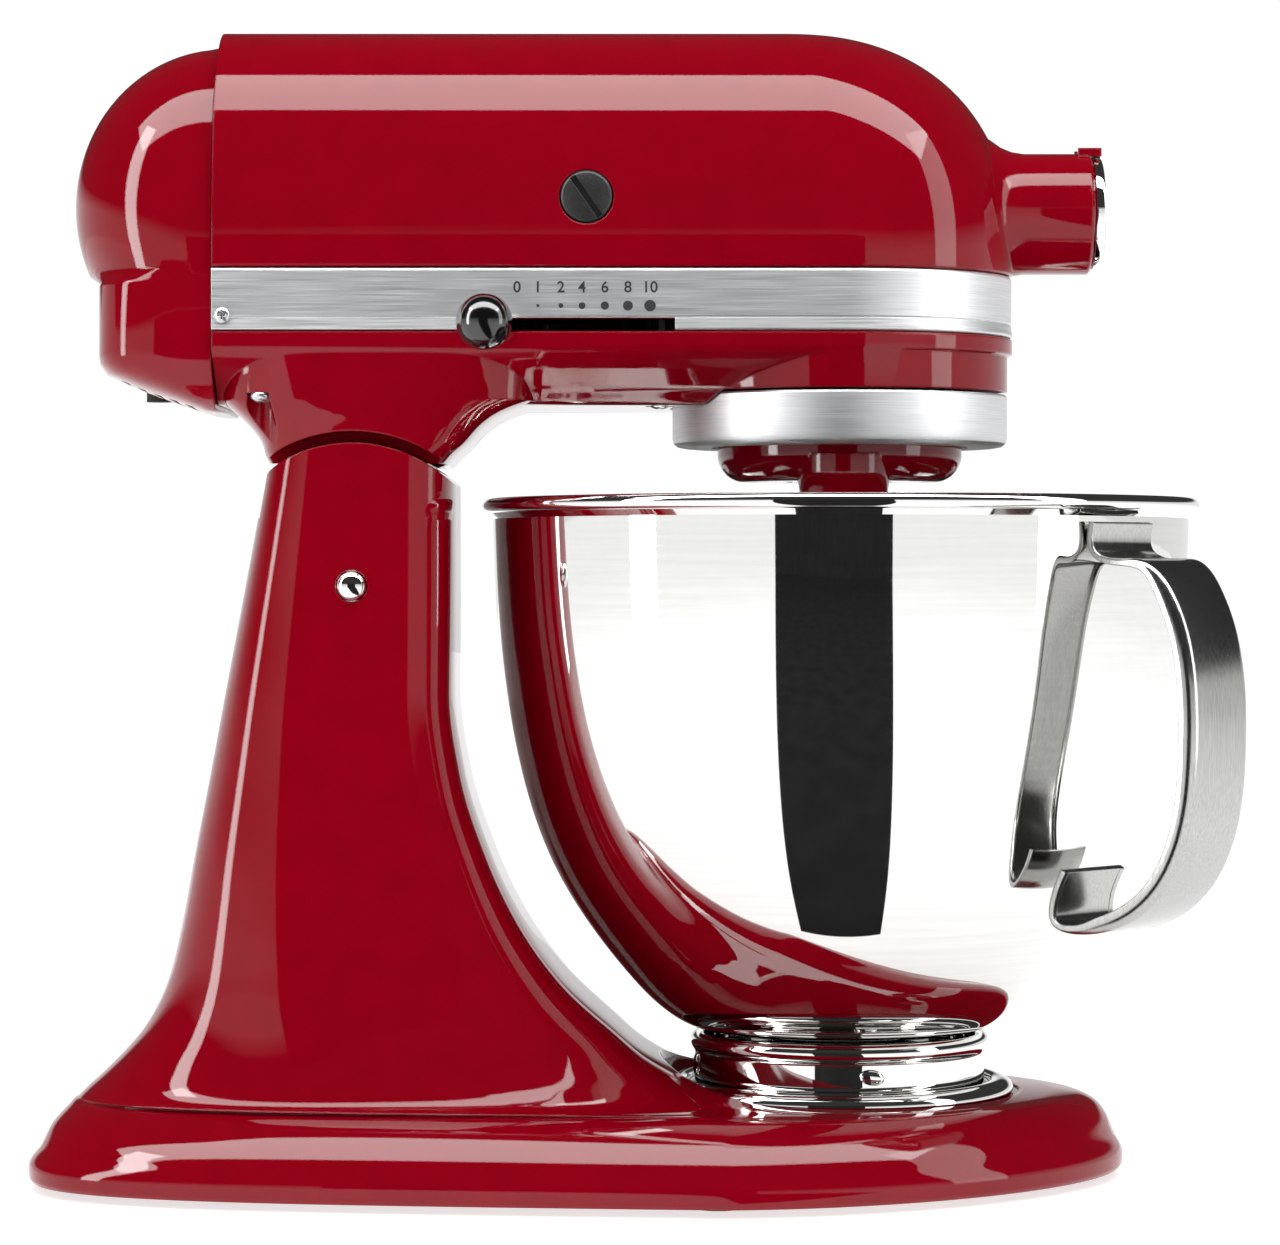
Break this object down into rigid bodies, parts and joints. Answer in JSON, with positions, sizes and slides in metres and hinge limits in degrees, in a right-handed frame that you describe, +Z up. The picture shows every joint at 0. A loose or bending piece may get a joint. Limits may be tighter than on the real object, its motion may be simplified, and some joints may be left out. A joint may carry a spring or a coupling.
{
  "type": "stand mixer",
  "caption": "Tilt-head stand mixer with a planetary beater, a steel bowl with a handle, a trim band with a speed lever and a front attachment hub.",
  "frame": {"origin": "centre of the footprint, on the surface the feet stand on", "axes": "+X towards the front (attachment hub), +Z up, speed lever and bowl handle on the -Y side"},
  "size_m": [0.3639, 0.222, 0.3532],
  "materials": {
    "red_enamel": "high-gloss red enamel",
    "polished_steel": "mirror polish",
    "satin_steel": "satin",
    "brushed_aluminium": "brushed",
    "zinc_screws": "zinc plated",
    "machined_steel": "machined",
    "bronze": "machined bronze",
    "black_plastic": "gloss black",
    "carbon": "carbon block",
    "circuit_board": "board",
    "foot_rubber": "moulded rubber"
  },
  "bodies": {
    "base": {"base_casting": "red_enamel", "foot_1": "foot_rubber", "foot_2": "foot_rubber", "foot_3": "foot_rubber", "foot_4": "foot_rubber", "foot_5": "foot_rubber", "bowl_plate": "polished_steel", "plate_screw_1": "zinc_screws", "plate_screw_2": "zinc_screws", "plate_screw_3": "zinc_screws", "hinge_pin": "polished_steel", "head_height_screw": "zinc_screws"},
    "head": {"motor_housing": "red_enamel", "lower_gearcase": "red_enamel", "trim_band": "brushed_aluminium", "rear_cover": "red_enamel", "rear_cover_screw": "zinc_screws", "housing_screw_rear_left": "zinc_screws", "housing_screw_rear_right": "zinc_screws", "housing_screw_keel": "zinc_screws", "brush_cap_left": "black_plastic", "brush_cap_right": "black_plastic", "brush_holder_left": "black_plastic", "brush_holder_right": "black_plastic", "carbon_brush_left": "carbon", "carbon_brush_right": "carbon", "stator": "machined_steel", "front_bearing": "bronze", "rear_bearing": "bronze", "front_bearing_bracket": "machined_steel", "rear_bearing_bracket": "machined_steel", "speed_control_board": "circuit_board", "centre_shaft_bushing": "bronze", "hub_bushing": "bronze", "cord_gland": "black_plastic", "ring_gear": "machined_steel", "drip_ring": "brushed_aluminium"},
    "rotor": {"rotor_shaft": "machined_steel", "rotor_core": "machined_steel", "commutator": "bronze", "cooling_fan": "black_plastic"},
    "worm_wheel_set": {"worm_wheel": "bronze", "transfer_shaft": "machined_steel"},
    "planet": {"planetary_hub": "red_enamel", "centre_shaft": "machined_steel", "centre_gear": "machined_steel", "bevel_gear": "machined_steel"},
    "beater": {"beater_shaft": "machined_steel", "beater_pinion": "machined_steel", "flat_beater": "brushed_aluminium"},
    "hub_drive": {"hub_drive_socket": "machined_steel"},
    "speed_lever": {"speed_lever_arm": "polished_steel", "speed_lever_knob": "black_plastic"},
    "lock_lever": {"lock_lever_rod": "polished_steel", "lock_lever_knob": "black_plastic"},
    "hub_cap": {"hub_cap": "polished_steel"},
    "attachment_knob": {"attachment_knob": "black_plastic"},
    "bowl": {"bowl_shell": "polished_steel", "bowl_foot": "polished_steel", "bowl_handle": "satin_steel"}
  },
  "joints": [
    {"name": "head_tilt", "type": "hinge", "parent": "base", "child": "head", "pos_m": [-0.0805, 0, 0.1827], "axis": [0, -1, 0], "range_deg": [0, 50]},
    {"name": "bowl_twist", "type": "hinge", "parent": "base", "child": "bowl", "pos_m": [0.068, 0, 0.0264], "axis": [0, 0, 1], "range_deg": [0, 25]},
    {"name": "lock_slide", "type": "slide", "parent": "base", "child": "lock_lever", "axis": [-1, 0, 0], "range_m": [0, 0.012]},
    {"name": "speed_lever_swing", "type": "hinge", "parent": "head", "child": "speed_lever", "pos_m": [-0.013, 0, 0.2608], "axis": [0, 0, 1], "range_deg": [0, 44]},
    {"name": "hub_cap_hinge", "type": "hinge", "parent": "head", "child": "hub_cap", "pos_m": [0.1473, 0, 0.3167], "axis": [0, -1, 0], "range_deg": [0, 110]},
    {"name": "attachment_knob_turn", "type": "hinge", "parent": "head", "child": "attachment_knob", "pos_m": [0.131, 0.0187, 0.298], "axis": [0, 1, 0], "range_deg": [0, 360]},
    {"name": "rotor_spin", "type": "hinge", "parent": "head", "child": "rotor", "pos_m": [0, 0, 0.299], "axis": [1, 0, 0], "continuous": true},
    {"name": "worm_wheel_spin", "type": "hinge", "parent": "head", "child": "worm_wheel_set", "pos_m": [0.0152, 0.024, 0.299], "axis": [0, 0, 1], "continuous": true},
    {"name": "planet_spin", "type": "hinge", "parent": "head", "child": "planet", "pos_m": [0.068, 0, 0.2148], "axis": [0, 0, 1], "continuous": true},
    {"name": "beater_spin", "type": "hinge", "parent": "planet", "child": "beater", "pos_m": [0.068, -0.027, 0.2148], "axis": [0, 0, 1], "continuous": true},
    {"name": "hub_drive_spin", "type": "hinge", "parent": "head", "child": "hub_drive", "pos_m": [0.1455, 0, 0.298], "axis": [1, 0, 0], "continuous": true}
  ],
  "couplings": [
    {"joint": "worm_wheel_spin", "follows": "rotor_spin", "ratio": 0.11111},
    {"joint": "planet_spin", "follows": "rotor_spin", "ratio": -0.035354},
    {"joint": "beater_spin", "follows": "rotor_spin", "ratio": 0.091503},
    {"joint": "hub_drive_spin", "follows": "rotor_spin", "ratio": -0.035354}
  ]
}
